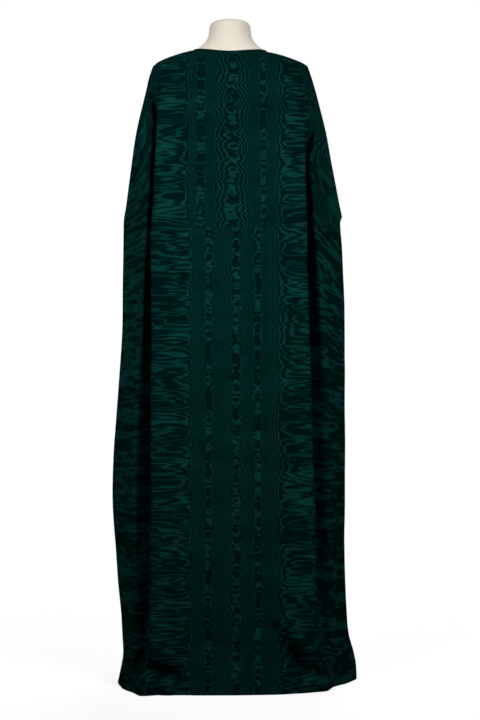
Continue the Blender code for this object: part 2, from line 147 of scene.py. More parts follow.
# Creases where the hem buckles on the floor, as in the solids. A row gives the two
# ends across and up the panel, half the width and the depth.
Crease = namedtuple("Crease", "x0 z0 x1 z1 width depth")
BACK_BUCKLES = table(
    Crease,
    (-0.200, 0.074, -0.140, 0.050, 0.015, 0.026),
    (-0.205, 0.112, -0.120, 0.092, 0.020, -0.008),
    (0.088, 0.205, 0.104, 0.142, 0.022, 0.010),
    (0.104, 0.142, 0.156, 0.075, 0.020, 0.018),
    (0.156, 0.075, 0.192, 0.048, 0.017, 0.018),
    (0.120, 0.052, 0.175, 0.020, 0.018, -0.009),
)
FRONT_BUCKLES = table(
    Crease,
    (-0.170, 0.110, -0.090, 0.050, 0.020, 0.016),
    (0.100, 0.150, 0.175, 0.060, 0.022, 0.016),
)
BUCKLES = {"back": BACK_BUCKLES, "front": FRONT_BUCKLES}

# Soft troughs (plus) and ridges (minus) that only the shell has.
BACK_CREASES = table(
    Crease,
    (-0.186, 1.412, -0.206, 1.220, 0.008, 0.0035),
    (-0.196, 1.330, -0.232, 1.120, 0.009, 0.0030),
    (-0.204, 1.150, -0.240, 0.930, 0.010, 0.0030),
    (-0.214, 0.700, -0.258, 0.380, 0.012, 0.0040),
    (-0.205, 0.330, -0.246, 0.140, 0.011, 0.0040),
    (0.190, 1.400, 0.214, 1.240, 0.008, 0.0035),
    (0.196, 1.250, 0.240, 1.110, 0.009, 0.0040),
    (0.206, 1.090, 0.252, 0.960, 0.010, 0.0035),
    (0.212, 0.930, 0.262, 0.760, 0.011, 0.0030),
    (0.224, 0.620, 0.262, 0.330, 0.012, 0.0035),
    (0.228, 0.230, 0.276, 0.070, 0.012, 0.0040),
    (-0.118, 1.395, -0.040, 1.436, 0.014, 0.0016),
    (0.112, 1.400, 0.036, 1.440, 0.014, 0.0016),
    (-0.150, 1.120, -0.090, 1.075, 0.012, 0.0015),
    (0.150, 1.105, 0.100, 1.072, 0.012, 0.0015),
    (-0.060, 0.420, -0.075, 0.090, 0.022, 0.0025),
    (0.052, 0.520, 0.070, 0.230, 0.024, 0.0030),
    (-0.128, 0.520, -0.140, 0.160, 0.018, 0.0030),
    (0.135, 0.480, 0.150, 0.200, 0.018, 0.0030),
    (-0.210, 0.054, -0.124, 0.036, 0.0078, 0.028),
    (-0.208, 0.084, -0.134, 0.062, 0.0105, -0.017),
    (-0.214, 0.030, -0.128, 0.015, 0.0095, -0.009),
    (0.122, 0.114, 0.170, 0.052, 0.0075, 0.013),
    (0.170, 0.052, 0.216, 0.024, 0.0075, 0.015),
    (0.124, 0.160, 0.196, 0.066, 0.0100, -0.009),
    (-0.200, 0.000, -0.150, 0.000, 0.0260, -0.012),
    (-0.150, 0.028, -0.090, 0.012, 0.009, 0.0035),
    (-0.185, 0.036, -0.160, 0.006, 0.009, 0.0035),
    (0.120, 0.100, 0.170, 0.038, 0.008, -0.0030),
    (0.070, 0.030, 0.110, 0.052, 0.011, 0.0030),
)
FRONT_CREASES = table(
    Crease,
    (-0.186, 1.400, -0.214, 1.200, 0.009, 0.0035),
    (-0.198, 1.180, -0.242, 0.980, 0.010, 0.0035),
    (-0.210, 0.760, -0.256, 0.430, 0.012, 0.0035),
    (-0.212, 0.300, -0.246, 0.100, 0.011, 0.0040),
    (0.188, 1.390, 0.220, 1.190, 0.009, 0.0035),
    (0.200, 1.140, 0.254, 0.950, 0.010, 0.0035),
    (0.214, 0.700, 0.262, 0.360, 0.012, 0.0035),
    (0.222, 0.260, 0.270, 0.080, 0.012, 0.0040),
    (-0.090, 1.330, -0.105, 0.980, 0.020, 0.0040),
    (0.086, 1.320, 0.102, 0.940, 0.020, 0.0040),
    (-0.040, 1.240, -0.046, 0.880, 0.016, 0.0025),
    (0.034, 1.250, 0.042, 0.860, 0.016, 0.0025),
    (-0.070, 0.700, -0.088, 0.120, 0.024, 0.0040),
    (0.062, 0.640, 0.078, 0.140, 0.024, 0.0040),
    (-0.150, 1.260, -0.120, 1.080, 0.016, 0.0030),
    (0.150, 1.250, 0.118, 1.060, 0.016, 0.0030),
)
SOFT_CREASES = {"back": BACK_CREASES, "front": FRONT_CREASES}
CREASE_REACH = 3.5

# How steeply the weft hangs in the wings, in degrees below level, by height. It turns
# about the point at the pivot's height where the wing starts.
WeftSlope = namedtuple("WeftSlope", "height left right")
WEFT_SLOPES = table(
    WeftSlope,
    (0.15, 0.0, 2.0),
    (0.55, 2.0, 6.0),
    (0.80, 2.0, 20.0),
    (0.95, 8.0, 34.0),
    (1.06, 22.0, 44.0),
    (1.16, 46.0, 54.0),
    (1.30, 62.0, 62.0),
    (1.45, 68.0, 66.0),
)
WEFT_PIVOT = 1.15
WING_STARTS = 0.19

# Where along a quarter ring its points fall: three for each one of the solids.
STRAIGHT_STEPS = (15, 6, 6, 3, 3)
CORNER_STEPS = (9, 9, 9, 6)
CORNER_CUTS = (0.011, 0.016, 0.014, 0.030)
QUARTER = sum(STRAIGHT_STEPS) + sum(CORNER_STEPS)
EDGE_RUN = 0.018
OVAL_POWER = 2.5
OVAL_MIDDLE = 0.72
CORNER_LIMIT = 0.42

# Shares of a quarter ring over which the buckles fade out and the wing's weft fades
# in, and shares of its reach over which the swing at the hem fades in.
BUCKLE_FADE = (0.6, 0.8)
WEFT_FADE = (0.42, 0.60)
SWING_FADE = (0.55, 1.0)

# The rings over the shoulder, how many columns gape beside a hand slit, and how far
# the back's edges stay from their seam.
SHOULDER_STEPS = 10
SLIT_COLUMNS = 6
SEAM_CLEARANCE = 0.00005

# The shell's own unevenness. It fades out over the last columns at the side edges, and
# below the buckle heights it goes straight in, and not square to the cloth.
EDGE_COLUMNS = 5.0
BUCKLE_HEIGHTS = (0.11, 0.16)
UNEVEN_DEPTH = 0.0007
PUCKER_DEPTH = 0.0003
PUCKER_WIDTH = 0.004
SHARP_ANGLE = 60.0

# The rings lie closer below these heights, down to this share of the ring step.
FLOOR_STEP_HEIGHTS = (0.10, 0.30)
FLOOR_STEP_SHARE = 0.32

# How far the binding's roll stays clear of the neckline.
BINDING_LIFT = 0.0008

# The watered bands across the cloth, from the left of the back to its right:
# how far the figure's phase has run, in lines, how many lines it wavers, and how
# strongly the lines show. The figure has clusters of lines, chains of small cells
# and a wider centre band, between streaks at both sides.
Band = namedtuple("Band", "across phase waver strength")
UPPER_BANDS = table(
    Band,
    (-0.300, 0.0, 1.6, 0.65),
    (-0.205, 0.0, 1.8, 0.72),
    (-0.176, 0.0, 3.6, 0.90),
    (-0.168, 0.0, 3.6, 0.95),
    (-0.106, 0.4, 3.6, 0.95),
    (-0.099, 0.9, 1.6, 0.80),
    (-0.090, 2.2, 0.9, 0.75),
    (-0.083, 3.8, 0.9, 0.60),
    (-0.079, 5.0, 1.5, 0.85),
    (-0.074, 5.7, 2.4, 0.95),
    (-0.060, 5.7, 2.4, 0.95),
    (-0.055, 5.0, 1.4, 0.85),
    (-0.051, 3.6, 0.8, 0.10),
    (-0.038, -1.2, 0.7, 0.10),
    (-0.034, -2.0, 0.8, 0.85),
    (-0.020, -3.4, 1.1, 0.95),
    (-0.008, -4.4, 1.6, 1.00),
    (0.003, -5.0, 2.3, 1.00),
    (0.013, -5.0, 2.3, 1.00),
    (0.024, -4.1, 1.6, 1.00),
    (0.036, -2.8, 1.0, 0.95),
    (0.046, -1.4, 0.8, 0.85),
    (0.050, -0.6, 0.7, 0.10),
    (0.066, 3.0, 0.8, 0.10),
    (0.070, 4.0, 1.4, 0.85),
    (0.074, 4.5, 2.2, 0.95),
    (0.082, 4.5, 2.2, 0.95),
    (0.086, 4.0, 1.4, 0.85),
    (0.090, 2.8, 0.8, 0.10),
    (0.101, -0.6, 0.8, 0.12),
    (0.106, -2.2, 1.0, 0.80),
    (0.118, -4.4, 1.6, 0.90),
    (0.132, -5.4, 3.0, 0.95),
    (0.152, -5.7, 3.8, 0.95),
    (0.178, -5.8, 3.8, 0.90),
    (0.205, -5.8, 1.8, 0.58),
    (0.300, -5.8, 1.6, 0.52),
)
LOWER_BANDS = table(
    Band,
    (-0.300, 0.0, 2.0, 0.65),
    (-0.200, 0.0, 2.3, 0.75),
    (-0.180, 0.0, 3.8, 0.95),
    (-0.098, 0.2, 3.8, 0.95),
    (-0.090, 0.7, 2.0, 0.85),
    (-0.083, 1.8, 1.0, 0.80),
    (-0.071, 4.4, 0.9, 0.60),
    (-0.067, 5.8, 0.8, 0.10),
    (-0.060, 8.2, 0.8, 0.10),
    (-0.057, 9.2, 1.2, 0.95),
    (-0.053, 9.8, 2.2, 1.00),
    (-0.044, 9.8, 2.2, 1.00),
    (-0.039, 9.2, 1.2, 0.95),
    (-0.036, 8.0, 0.8, 0.10),
    (-0.021, 2.2, 0.8, 0.10),
    (-0.018, 1.0, 0.9, 0.80),
    (-0.006, -1.4, 1.2, 0.95),
    (0.003, -3.0, 1.9, 1.00),
    (0.011, -3.8, 2.5, 1.00),
    (0.021, -3.8, 2.5, 1.00),
    (0.030, -2.3, 1.4, 0.95),
    (0.040, -0.4, 1.0, 0.75),
    (0.043, 1.4, 0.8, 0.10),
    (0.052, 4.6, 0.8, 0.10),
    (0.055, 5.6, 1.2, 0.95),
    (0.060, 6.3, 2.2, 1.00),
    (0.070, 6.3, 2.2, 1.00),
    (0.074, 5.6, 1.2, 0.95),
    (0.078, 4.4, 0.8, 0.10),
    (0.087, 1.4, 0.8, 0.12),
    (0.091, 0.2, 0.8, 0.80),
    (0.105, -2.4, 1.2, 0.90),
    (0.118, -4.2, 2.2, 0.95),
    (0.135, -5.0, 3.4, 0.95),
    (0.160, -5.3, 4.0, 0.95),
    (0.182, -5.4, 4.0, 0.90),
    (0.205, -5.4, 1.9, 0.80),
    (0.300, -5.4, 1.6, 0.80),
)
BAND_REACH = 0.30
PHASE_REACH = 12.0
WAVER_REACH = 5.0

# The soft lights: where each stands, what it aims at, its width, its power in watts
# and its spread in degrees.
Lamp = namedtuple("Lamp", "name place aim size power spread")
LAMPS = table(
    Lamp,
    ("key_light", (-1.6, -1.9, 1.9), (0.0, 0.0, 1.14), 0.9, 6.9, 66.0),
    ("fill_light", (1.7, -1.9, 1.9), (0.0, 0.0, 1.04), 0.9, 7.0, 66.0),
    ("back_light", (0.6, 2.6, 2.4), (0.0, 0.0, 1.1), 1.6, 38.0, 180.0),
)
CAMERA_PLACE = (0.024, -3.2, 0.754)
CAMERA_LENS = 66.65
CAMERA_SENSOR = 36.0


def length(name, description, default, low, high):
    return bpy.props.FloatProperty(
        name=name, description=description, default=default, min=low, max=high, unit="LENGTH")


def colour(name, description, default):
    return bpy.props.FloatVectorProperty(
        name=name, description=description, subtype="COLOR", size=3, default=default)


class KaftanSizes(bpy.types.PropertyGroup):
    cloth: length("Cloth", "Thickness of the silk", 0.0010, 0.0004, 0.002)
    ring_step: length("Ring step", "Height between the shell's rings", 0.0125, 0.008, 0.03)
    binding: length("Binding", "Radius of the rolled edge round the neck", 0.0016, 0.001, 0.003)


class KaftanColours(bpy.types.PropertyGroup):
    silk_dark: colour("Silk, dark", "The watered figure's dark tone", (0.0, 0.0084, 0.0080))
    # The watered figure's light tone is the silk's own. Its red is raised so the brightest lines
    # look pale, which is a painted sheen.
    silk_light_and_sheen: colour("Silk, light", "The watered figure's light tone", (0.0030, 0.0440, 0.0350))
    canvas: colour("Canvas", "The dress form's cover", (0.83, 0.78, 0.68))
    steel: colour("Steel", "The stand", (0.30, 0.30, 0.31))
    floor: colour("Floor", "The stage's floor", (0.42, 0.42, 0.42))


def smoothstep(low, high, value):
    share = min(1.0, max(0.0, (value - low) / (high - low)))
    return share * share * (3.0 - 2.0 * share)


def mix(a, b, share):
    return a + (b - a) * share


def along(rows, column, height):
    """The column's value at a height, on a smooth curve through the rows."""
    heights = [row.height for row in rows]
    values = [getattr(row, column) for row in rows]
    if height <= heights[0]:
        return values[0]
    if height >= heights[-1]:
        return values[-1]
    i = max(k for k in range(len(rows) - 1) if heights[k] <= height)

    def slope(k):
        low, high = max(k - 1, 0), min(k + 1, len(rows) - 1)
        return (values[high] - values[low]) / (heights[high] - heights[low])

    gap = heights[i + 1] - heights[i]
    t = (height - heights[i]) / gap
    a = (2 * t**3 - 3 * t**2 + 1) * values[i]
    b = (t**3 - 2 * t**2 + t) * gap * slope(i)
    c = (-2 * t**3 + 3 * t**2) * values[i + 1]
    d = (t**3 - t**2) * gap * slope(i + 1)
    return a + b + c + d


def fold_of(face, side):
    return next(fold for fold in FOLDS if fold.face == face and fold.side == side)


def shoulder_of(side):
    return next(shoulder for shoulder in SHOULDERS if shoulder.side == side)


def fold_share(fold, height):
    """How much of the fold is there: none at its start, all of it below."""
    hanging = 1.0 - smoothstep(fold.full, fold.start, height)
    spread = mix(fold.hem_share, 1.0, smoothstep(0.0, HEM_SPREAD_HEIGHT, height))
    return hanging * spread


def crease_x(fold, height):
    if height > CREASE_HIP_HEIGHT:
        share = (height - CREASE_HIP_HEIGHT) / (CREASE_CHEST_HEIGHT - CREASE_HIP_HEIGHT)
        return mix(fold.hip_x, fold.chest_x, min(share, 1.0))
    return mix(fold.hem_x, fold.hip_x, height / CREASE_HIP_HEIGHT)


def folded_corners(face, side, height):
    """Corners of a folded quarter ring in plan: panel middle, crease, fold bottom,
    wing ridge, edge turn and side edge."""
    fold = fold_of(face, side)
    word = "left" if side < 0 else "right"
    reach = along(OUTLINES, word, height)
    middle = along(OUTLINES, face, height)
    if face == "back":
        edge = along(OUTLINES, "back_" + word, height)
    else:
        edge = middle * FRONT_EDGE_SHARE
    x = crease_x(fold, height)
    tuck = mix(OPEN_TUCK, fold.tuck, smoothstep(*OPEN_TUCK_HEIGHTS, height))
    return (
        Vector((0.0, middle)),
        Vector((x, edge)),
        Vector((x - tuck, edge - fold.depth)),
        Vector((mix(x, reach, along(RIDGES, word + "_share", height)),
                edge - along(RIDGES, word + "_drop", height))),
        Vector((reach, EDGE_RUN)),
        Vector((reach, 0.0)),
    )


def oval_point(reach, middle, column):
    """A point of a quarter ring that has no fold: a rounded oblong."""
    first = STRAIGHT_STEPS[0]
    power = 0.5 * OVAL_POWER
    if column <= first:
        turn = math.asin((OVAL_MIDDLE * column / first) ** power)
    else:
        turn = mix(math.asin(OVAL_MIDDLE**power), 0.5 * math.pi,
                   (column - first) / (QUARTER - first))
    return Vector((reach * math.sin(turn) ** (1.0 / power),
                   middle * max(0.0, math.cos(turn)) ** (1.0 / power)))


def rounded(corners):
    """Points along the corners' line, with each inner corner rounded."""
    points = [corners[0]]
    start = corners[0]
    for k, cut in enumerate(CORNER_CUTS):
        before, corner, after = corners[k], corners[k + 1], corners[k + 2]
        into = corner - before
        out = after - corner
        enter = corner - into.normalized() * min(cut, CORNER_LIMIT * into.length)
        leave = corner + out.normalized() * min(cut, CORNER_LIMIT * out.length)
        for n in range(1, STRAIGHT_STEPS[k] + 1):
            points.append(start.lerp(enter, n / STRAIGHT_STEPS[k]))
        for n in range(1, CORNER_STEPS[k] + 1):
            t = n / CORNER_STEPS[k]
            points.append(enter * (1 - t) ** 2 + corner * 2 * t * (1 - t) + leave * t**2)
        start = leave
    last = STRAIGHT_STEPS[-1]
    points += [start.lerp(corners[-1], n / last) for n in range(1, last + 1)]
    return points


def plan_points(face, side, height):
    """The points of a quarter ring in plan, partly folded where a fold starts."""
    corners = folded_corners(face, side, height)
    middle, crease = corners[0], corners[1]
    share = fold_share(fold_of(face, side), height)
    points = []
    for column, point in enumerate(rounded(corners)):
        if point.x < crease.x and column < STRAIGHT_STEPS[0] + CORNER_STEPS[0]:
            flat = point.x / crease.x
            point = point + Vector((0.0, (middle.y - crease.y) * (flat - flat * flat)))
        plain = oval_point(corners[-1].x, middle.y, column)
        points.append(plain.lerp(point, share))
    return points


def crease_depth(creases, x, height):
    """How far the creases push the cloth in at a point."""
    total = 0.0
    for crease in creases:
        run_x, run_z = crease.x1 - crease.x0, crease.z1 - crease.z0
        off_x, off_z = x - crease.x0, height - crease.z0
        share = (off_x * run_x + off_z * run_z) / (run_x * run_x + run_z * run_z)
        share = min(1.0, max(0.0, share))
        away = math.hypot(off_x - run_x * share, off_z - run_z * share) / crease.width
        if away < CREASE_REACH:
            total += crease.depth * math.exp(-away * away)
    return total


def ring_height(face, column, level):
    """The front's rings dip in the middle, so that they end at its lower neckline."""
    if face == "back":
        return level
    dip = smoothstep(FRONT_DROP_STARTS, CHEST_RING_HEIGHT, level)
    middle = math.cos(0.5 * math.pi * min(1.0, column / (FRONT_DIP_SHARE * QUARTER))) ** 2
    return level - FRONT_RING_DROP * dip * middle


def weft_map(side, across, height, wing):
    """Where a point lies on the flat cloth: in the wings the weft hangs down."""
    slope = math.radians(along(WEFT_SLOPES, "left" if side < 0 else "right", height))
    rise = height - WEFT_PIVOT
    past = across - WING_STARTS
    turned = (WING_STARTS + math.cos(slope) * past - math.sin(slope) * rise,
              WEFT_PIVOT + math.cos(slope) * rise + math.sin(slope) * past)
    return mix(across, turned[0], wing) * side, mix(height, turned[1], wing)


def hung_quarter(face, side, level):
    """The points of a level quarter ring with their places on the flat cloth."""
    plans = {}
    swing_column = "swing_left" if side < 0 else "swing_right"
    reach_column = "left" if side < 0 else "right"
    spots = []
    across = 0.0
    before = None
    for column in range(QUARTER + 1):
        height = ring_height(face, column, level)
        if height not in plans:
            plans[height] = plan_points(face, side, height)
        plan = plans[height][column]
        if before is not None:
            across += (plan - before).length
        before = plan
        x, y = side * plan.x, plan.y
        inner = 1.0 - smoothstep(*BUCKLE_FADE, column / QUARTER)
        y -= crease_depth(BUCKLES[face], x, height) * inner
        swing = along(OUTLINES, swing_column, height)
        reach = along(OUTLINES, reach_column, height)
        swing *= smoothstep(*SWING_FADE, plan.x / reach)
        place = Vector((x, OUTWARD[face] * y - swing, max(height, FLOOR_LIFT)))
        wing = smoothstep(*WEFT_FADE, column / QUARTER)
        spots.append((place, weft_map(side, across, height, wing)))
    return spots


def neck_point(face, side, column):
    """A point of the neckline."""
    turn = 0.5 * math.pi * (column / QUARTER) ** 0.9
    depth = NECK_BACK_DEPTH if face == "back" else NECK_FRONT_DEPTH
    low = NECK_BACK_HEIGHT if face == "back" else NECK_FRONT_HEIGHT
    lift = math.sin(turn) ** (1.5 if face == "back" else 1.9)
    return Vector((
        side * NECK_HALF_WIDTH * math.sin(turn),
        OUTWARD[face] * depth * math.cos(turn) ** 0.9,
        mix(low, shoulder_of(side).neck_height, lift),
    ))


def shoulder_quarter(face, side, share, chest):
    """The points of a quarter ring over the shoulder, from chest ring to neckline."""
    spots = []
    for column in range(QUARTER + 1):
        low, (across, up) = chest[column]
        high = neck_point(face, side, column)
        climb = share ** mix(MIDDLE_SLOPE, shoulder_of(side).slope, column / QUARTER)
        point = low.lerp(high, share)
        point.z = mix(low.z, high.z, climb)
        run = (high - low).length
        spots.append((point, (mix(across, high.x, share), up + run * share)))
    return spots


def whole_ring(left, right):
    return list(reversed(left))[:-1] + right


def slit_opening(level):
    """How far the hand slit gapes at a height: most in its upper part."""
    if not SLIT_BOTTOM < level < SLIT_TOP:
        return 0.0
    share = (SLIT_TOP - level) / (SLIT_TOP - SLIT_BOTTOM)
    return SLIT_GAPE * math.sin(math.pi * share**0.7)


def part_edges(spots, face, gape):
    """Pulls a ring's ends away from the other panel's, as far as the hand slit gapes."""
    for end in (0, len(spots) - 1):
        spots[end][0].y += OUTWARD[face] * 0.5 * gape
        for step in range(1, SLIT_COLUMNS + 1):
            near = step if end == 0 else end - step
            spots[near][0].y += OUTWARD[face] * gape * mix(0.5, 0.1, step / SLIT_COLUMNS)


def cloth_rings(face, levels, to_neck):
    """All rings of a panel, bottom first, as (place, place on the flat cloth)."""
    rings = []
    for level in levels:
        spots = whole_ring(hung_quarter(face, -1, level), hung_quarter(face, +1, level))
        part_edges(spots, face, slit_opening(level))
        rings.append(spots)
    if to_neck:
        left = hung_quarter(face, -1, CHEST_RING_HEIGHT)
        right = hung_quarter(face, +1, CHEST_RING_HEIGHT)
        for step in range(1, SHOULDER_STEPS + 1):
            share = step / SHOULDER_STEPS
            rings.append(whole_ring(shoulder_quarter(face, -1, share, left),
                                    shoulder_quarter(face, +1, share, right)))
    return rings


def ring_levels(low, high, step):
    """Heights of rings from low to high, closer together near the floor."""
    levels = [low]
    while levels[-1] < high - 0.6 * step:
        near = mix(FLOOR_STEP_SHARE, 1.0, smoothstep(*FLOOR_STEP_HEIGHTS, levels[-1]))
        levels.append(min(high, levels[-1] + step * near))
    levels[-1] = high
    return levels


def grid_normals(grid):
    across = np.gradient(grid, axis=1)
    upward = np.gradient(grid, axis=0)
    normals = np.cross(across, upward)
    return normals / np.maximum(np.linalg.norm(normals, axis=2, keepdims=True), 1e-9)


def unevenness(x, z):
    """A slight waviness of the hanging cloth."""
    return UNEVEN_DEPTH * (math.sin(31.0 * x + 9.0 * z + 0.7)
                           + math.sin(17.0 * z - 23.0 * x + 2.1)
                           + 0.6 * math.sin(57.0 * x - 38.0 * z + 4.0))


def soften(grid, face, to_neck):
    """Presses the soft creases and a slight unevenness into the cloth, square to it,
    or straight towards the middle plane where the hem buckles on the floor."""
    rows, columns, _ = grid.shape
    normals = grid_normals(grid)
    if face == "front":
        normals = -normals
    depth = np.zeros((rows, columns))
    square = np.zeros((rows, columns))
    for i in range(rows):
        for k in range(columns):
            x, _, z = grid[i, k]
            fade = min(1.0, min(k, columns - 1 - k) / EDGE_COLUMNS)
            square[i, k] = smoothstep(*BUCKLE_HEIGHTS, z)
            pucker = 0.0
            if face == "back":
                pucker = PUCKER_DEPTH * math.exp(-((z - BACK_SEAM_HEIGHT) / PUCKER_WIDTH) ** 2)
            depth[i, k] = fade * (
                crease_depth(SOFT_CREASES[face], x, z) + unevenness(x, z) + pucker)
    way = -normals * square[:, :, None]
    way[:, :, 1] += (1.0 - square) * -OUTWARD[face]
    moved = grid + way * depth[:, :, None]
    if to_neck:
        moved[-1] = grid[-1]
    return moved


def cloth_panel(name, face, levels, to_neck, cloth):
    """A thin shell on the solid's form, with its flat cut as the UV map."""
    rings = cloth_rings(face, levels, to_neck)
    grid = np.array([[spot[0] for spot in ring] for ring in rings], float)
    flat = np.array([[spot[1] for spot in ring] for ring in rings], float)
    grid = soften(grid, face, to_neck)
    rows, columns, _ = grid.shape
    faces = []
    for i in range(rows - 1):
        for k in range(columns - 1):
            a, b = i * columns + k, i * columns + k + 1
            c, d = b + columns, a + columns
            faces.append((a, b, c, d) if face == "back" else (d, c, b, a))
    mesh = bpy.data.meshes.new(name)
    mesh.from_pydata([tuple(p) for p in grid.reshape(-1, 3)], [], faces)
    uv = mesh.uv_layers.new(name="cloth")
    spots = flat.reshape(-1, 2)
    for loop in mesh.loops:
        uv.data[loop.index].uv = spots[loop.vertex_index]
    mesh.validate()
    panel = bpy.data.objects.new(name, mesh)
    bpy.context.collection.objects.link(panel)
    panel.data.shade_smooth()
    wall = panel.modifiers.new("wall", "SOLIDIFY")
    wall.thickness = cloth
    wall.offset = 0.0
    wall.use_quality_normals = True
    select_only(panel)
    bpy.ops.object.modifier_apply(modifier=wall.name)
    panel.data.set_sharp_from_angle(angle=math.radians(SHARP_ANGLE))
    return panel


def select_only(thing):
    bpy.ops.object.select_all(action="DESELECT")
    thing.select_set(True)
    bpy.context.view_layer.objects.active = thing


def stand_for(piece, node):
    """Puts a piece under the root and hides the solid whose place it takes."""
    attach(piece, "root")
    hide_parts(node)


def new_material(name):
    material = bpy.data.materials.new(name)
    material.use_nodes = True
    nodes = material.node_tree.nodes
    return material, nodes, material.node_tree.links, nodes["Principled BSDF"]


def add_node(nodes, kind, place, **settings):
    node = nodes.new(kind)
    node.location = place
    for key, value in settings.items():
        setattr(node, key, value)
    return node


def maths(nodes, links, operation, place, first, second=None, third=None):
    """A Math node with each input a number or another node's output."""
    node = add_node(nodes, "ShaderNodeMath", place, operation=operation)
    for socket, value in zip(node.inputs, (first, second, third)):
        if value is None:
            continue
        if isinstance(value, (int, float)):
            socket.default_value = value
        else:
            links.new(value, socket)
    return node.outputs[0]


def set_sockets(node, values):
    for name, value in values.items():
        node.inputs[name].default_value = value


def map_range(nodes, links, place, value, span, onto, interpolation="LINEAR"):
    """A Map Range node that carries one span of numbers onto another."""
    node = add_node(nodes, "ShaderNodeMapRange", place, interpolation_type=interpolation)
    set_sockets(node, dict(zip(("From Min", "From Max", "To Min", "To Max"), (*span, *onto))))
    links.new(value, node.inputs["Value"])
    return node.outputs["Result"]


def mix_colour(nodes, links, place, share, first, second):
    """A Mix node between two colours."""
    node = add_node(nodes, "ShaderNodeMix", place, data_type="RGBA")
    node.inputs[6].default_value = (*first, 1.0)
    node.inputs[7].default_value = (*second, 1.0)
    links.new(share, node.inputs[0])
    return node.outputs[2]


def bump_normal(nodes, links, place, height, strength, distance):
    """A Bump node over a height."""
    node = add_node(nodes, "ShaderNodeBump", place)
    set_sockets(node, {"Strength": strength, "Distance": distance})
    links.new(height, node.inputs["Height"])
    return node.outputs[0]


def new_group(name, numbers, outputs):
    """An empty node group that takes the cloth's coordinates and named numbers."""
    group = bpy.data.node_groups.new(name, "ShaderNodeTree")
    sockets = group.interface
    sockets.new_socket(name="Cloth", in_out="INPUT", socket_type="NodeSocketVector")
    for label, default in numbers.items():
        socket = sockets.new_socket(name=label, in_out="INPUT", socket_type="NodeSocketFloat")
        socket.default_value = default
    for label in outputs:
        sockets.new_socket(name=label, in_out="OUTPUT", socket_type="NodeSocketFloat")
    inside = add_node(group.nodes, "NodeGroupInput", (-1200, 0))
    outside = add_node(group.nodes, "NodeGroupOutput", (1100, 0))
    return group, inside, outside


def stretched_noise(group, inside, scales, detail, place, shift=0.0):
    """Noise about zero, as many cells a metre across and up the cloth as scales says."""
    nodes, links = group.nodes, group.links
    wide = add_node(nodes, "ShaderNodeMapping", place)
    set_sockets(wide, {"Scale": (*scales, 1.0), "Location": (shift, 0.37 * shift, 0.0)})
    links.new(inside.outputs["Cloth"], wide.inputs["Vector"])
    noise = add_node(nodes, "ShaderNodeTexNoise", (place[0] + 200, place[1]),
                     noise_dimensions="4D")
    set_sockets(noise, {"Scale": 1.0, "Detail": detail, "Roughness": 0.5})
    links.new(wide.outputs[0], noise.inputs["Vector"])
    links.new(inside.outputs["Seed"], noise.inputs["W"])
    return maths(nodes, links, "SUBTRACT", (place[0] + 380, place[1]), noise.outputs["Fac"], 0.5)


def watered_figure():
    """A node group for the moire figure: lines of equal phase on the flat cloth."""
    group = bpy.data.node_groups.get("Watered figure")
    if group:
        return group
    group, inside, outside = new_group(
        "Watered figure", {"Phase": 0.0, "Waver": 2.0, "Strength": 0.8, "Seed": 0.0},
        ("Mask", "Lines"))
    nodes, links = group.nodes, group.links
    broad = stretched_noise(group, inside, (2.6, 17.0), 1.0, (-1000, 500))
    middle = stretched_noise(group, inside, (7.0, 46.0), 1.0, (-1000, 200), 1.9)
    fine = stretched_noise(group, inside, (18.0, 170.0), 1.0, (-1000, -100), 3.1)
    cloudy = stretched_noise(group, inside, (5.5, 24.0), 2.0, (-1000, -400), 7.7)
    uneven = stretched_noise(group, inside, (26.0, 44.0), 2.0, (-1000, 800), 5.2)
    both = maths(nodes, links, "MULTIPLY_ADD", (-500, 400), middle, 0.62, broad)
    all_three = maths(nodes, links, "MULTIPLY_ADD", (-340, 340), fine, 0.22, both)
    bent = maths(nodes, links, "MULTIPLY", (-180, 300), all_three, inside.outputs["Waver"])
    bent = maths(nodes, links, "MULTIPLY", (-100, 260), bent, 2.0)
    jitter = maths(nodes, links, "MULTIPLY_ADD", (-300, 560), inside.outputs["Waver"], -0.5, 2.7)
    bent = maths(nodes, links, "MULTIPLY_ADD", (-60, 400), uneven, jitter, bent)
    phase = maths(nodes, links, "ADD", (0, 240), bent, inside.outputs["Phase"])
    turn = maths(nodes, links, "MULTIPLY", (120, 240), phase, 2.0 * math.pi)
    wave = maths(nodes, links, "COSINE", (260, 240), turn)
    ramp = maths(nodes, links, "MULTIPLY_ADD", (400, 240), wave, 0.5, 0.5)
    lines = maths(nodes, links, "POWER", (540, 240), ramp, 2.0)
    faded = maths(nodes, links, "SUBTRACT", (540, 60), lines, 0.46)
    shown = maths(nodes, links, "MULTIPLY", (700, 60), faded, inside.outputs["Strength"])
    cloud = maths(nodes, links, "MULTIPLY", (-340, -260), cloudy, inside.outputs["Waver"])
    level = map_range(nodes, links, (-340, -420), inside.outputs["Strength"],
                      (0.1, 0.5), (0.22, 0.31))
    base = maths(nodes, links, "MULTIPLY_ADD", (-180, -260), cloud, 0.55, level)
    mask = add_node(nodes, "ShaderNodeMath", (900, 0), operation="ADD", use_clamp=True)
    links.new(shown, mask.inputs[0])
    links.new(base, mask.inputs[1])
    links.new(mask.outputs[0], outside.inputs["Mask"])
    links.new(lines, outside.inputs["Lines"])
    return group


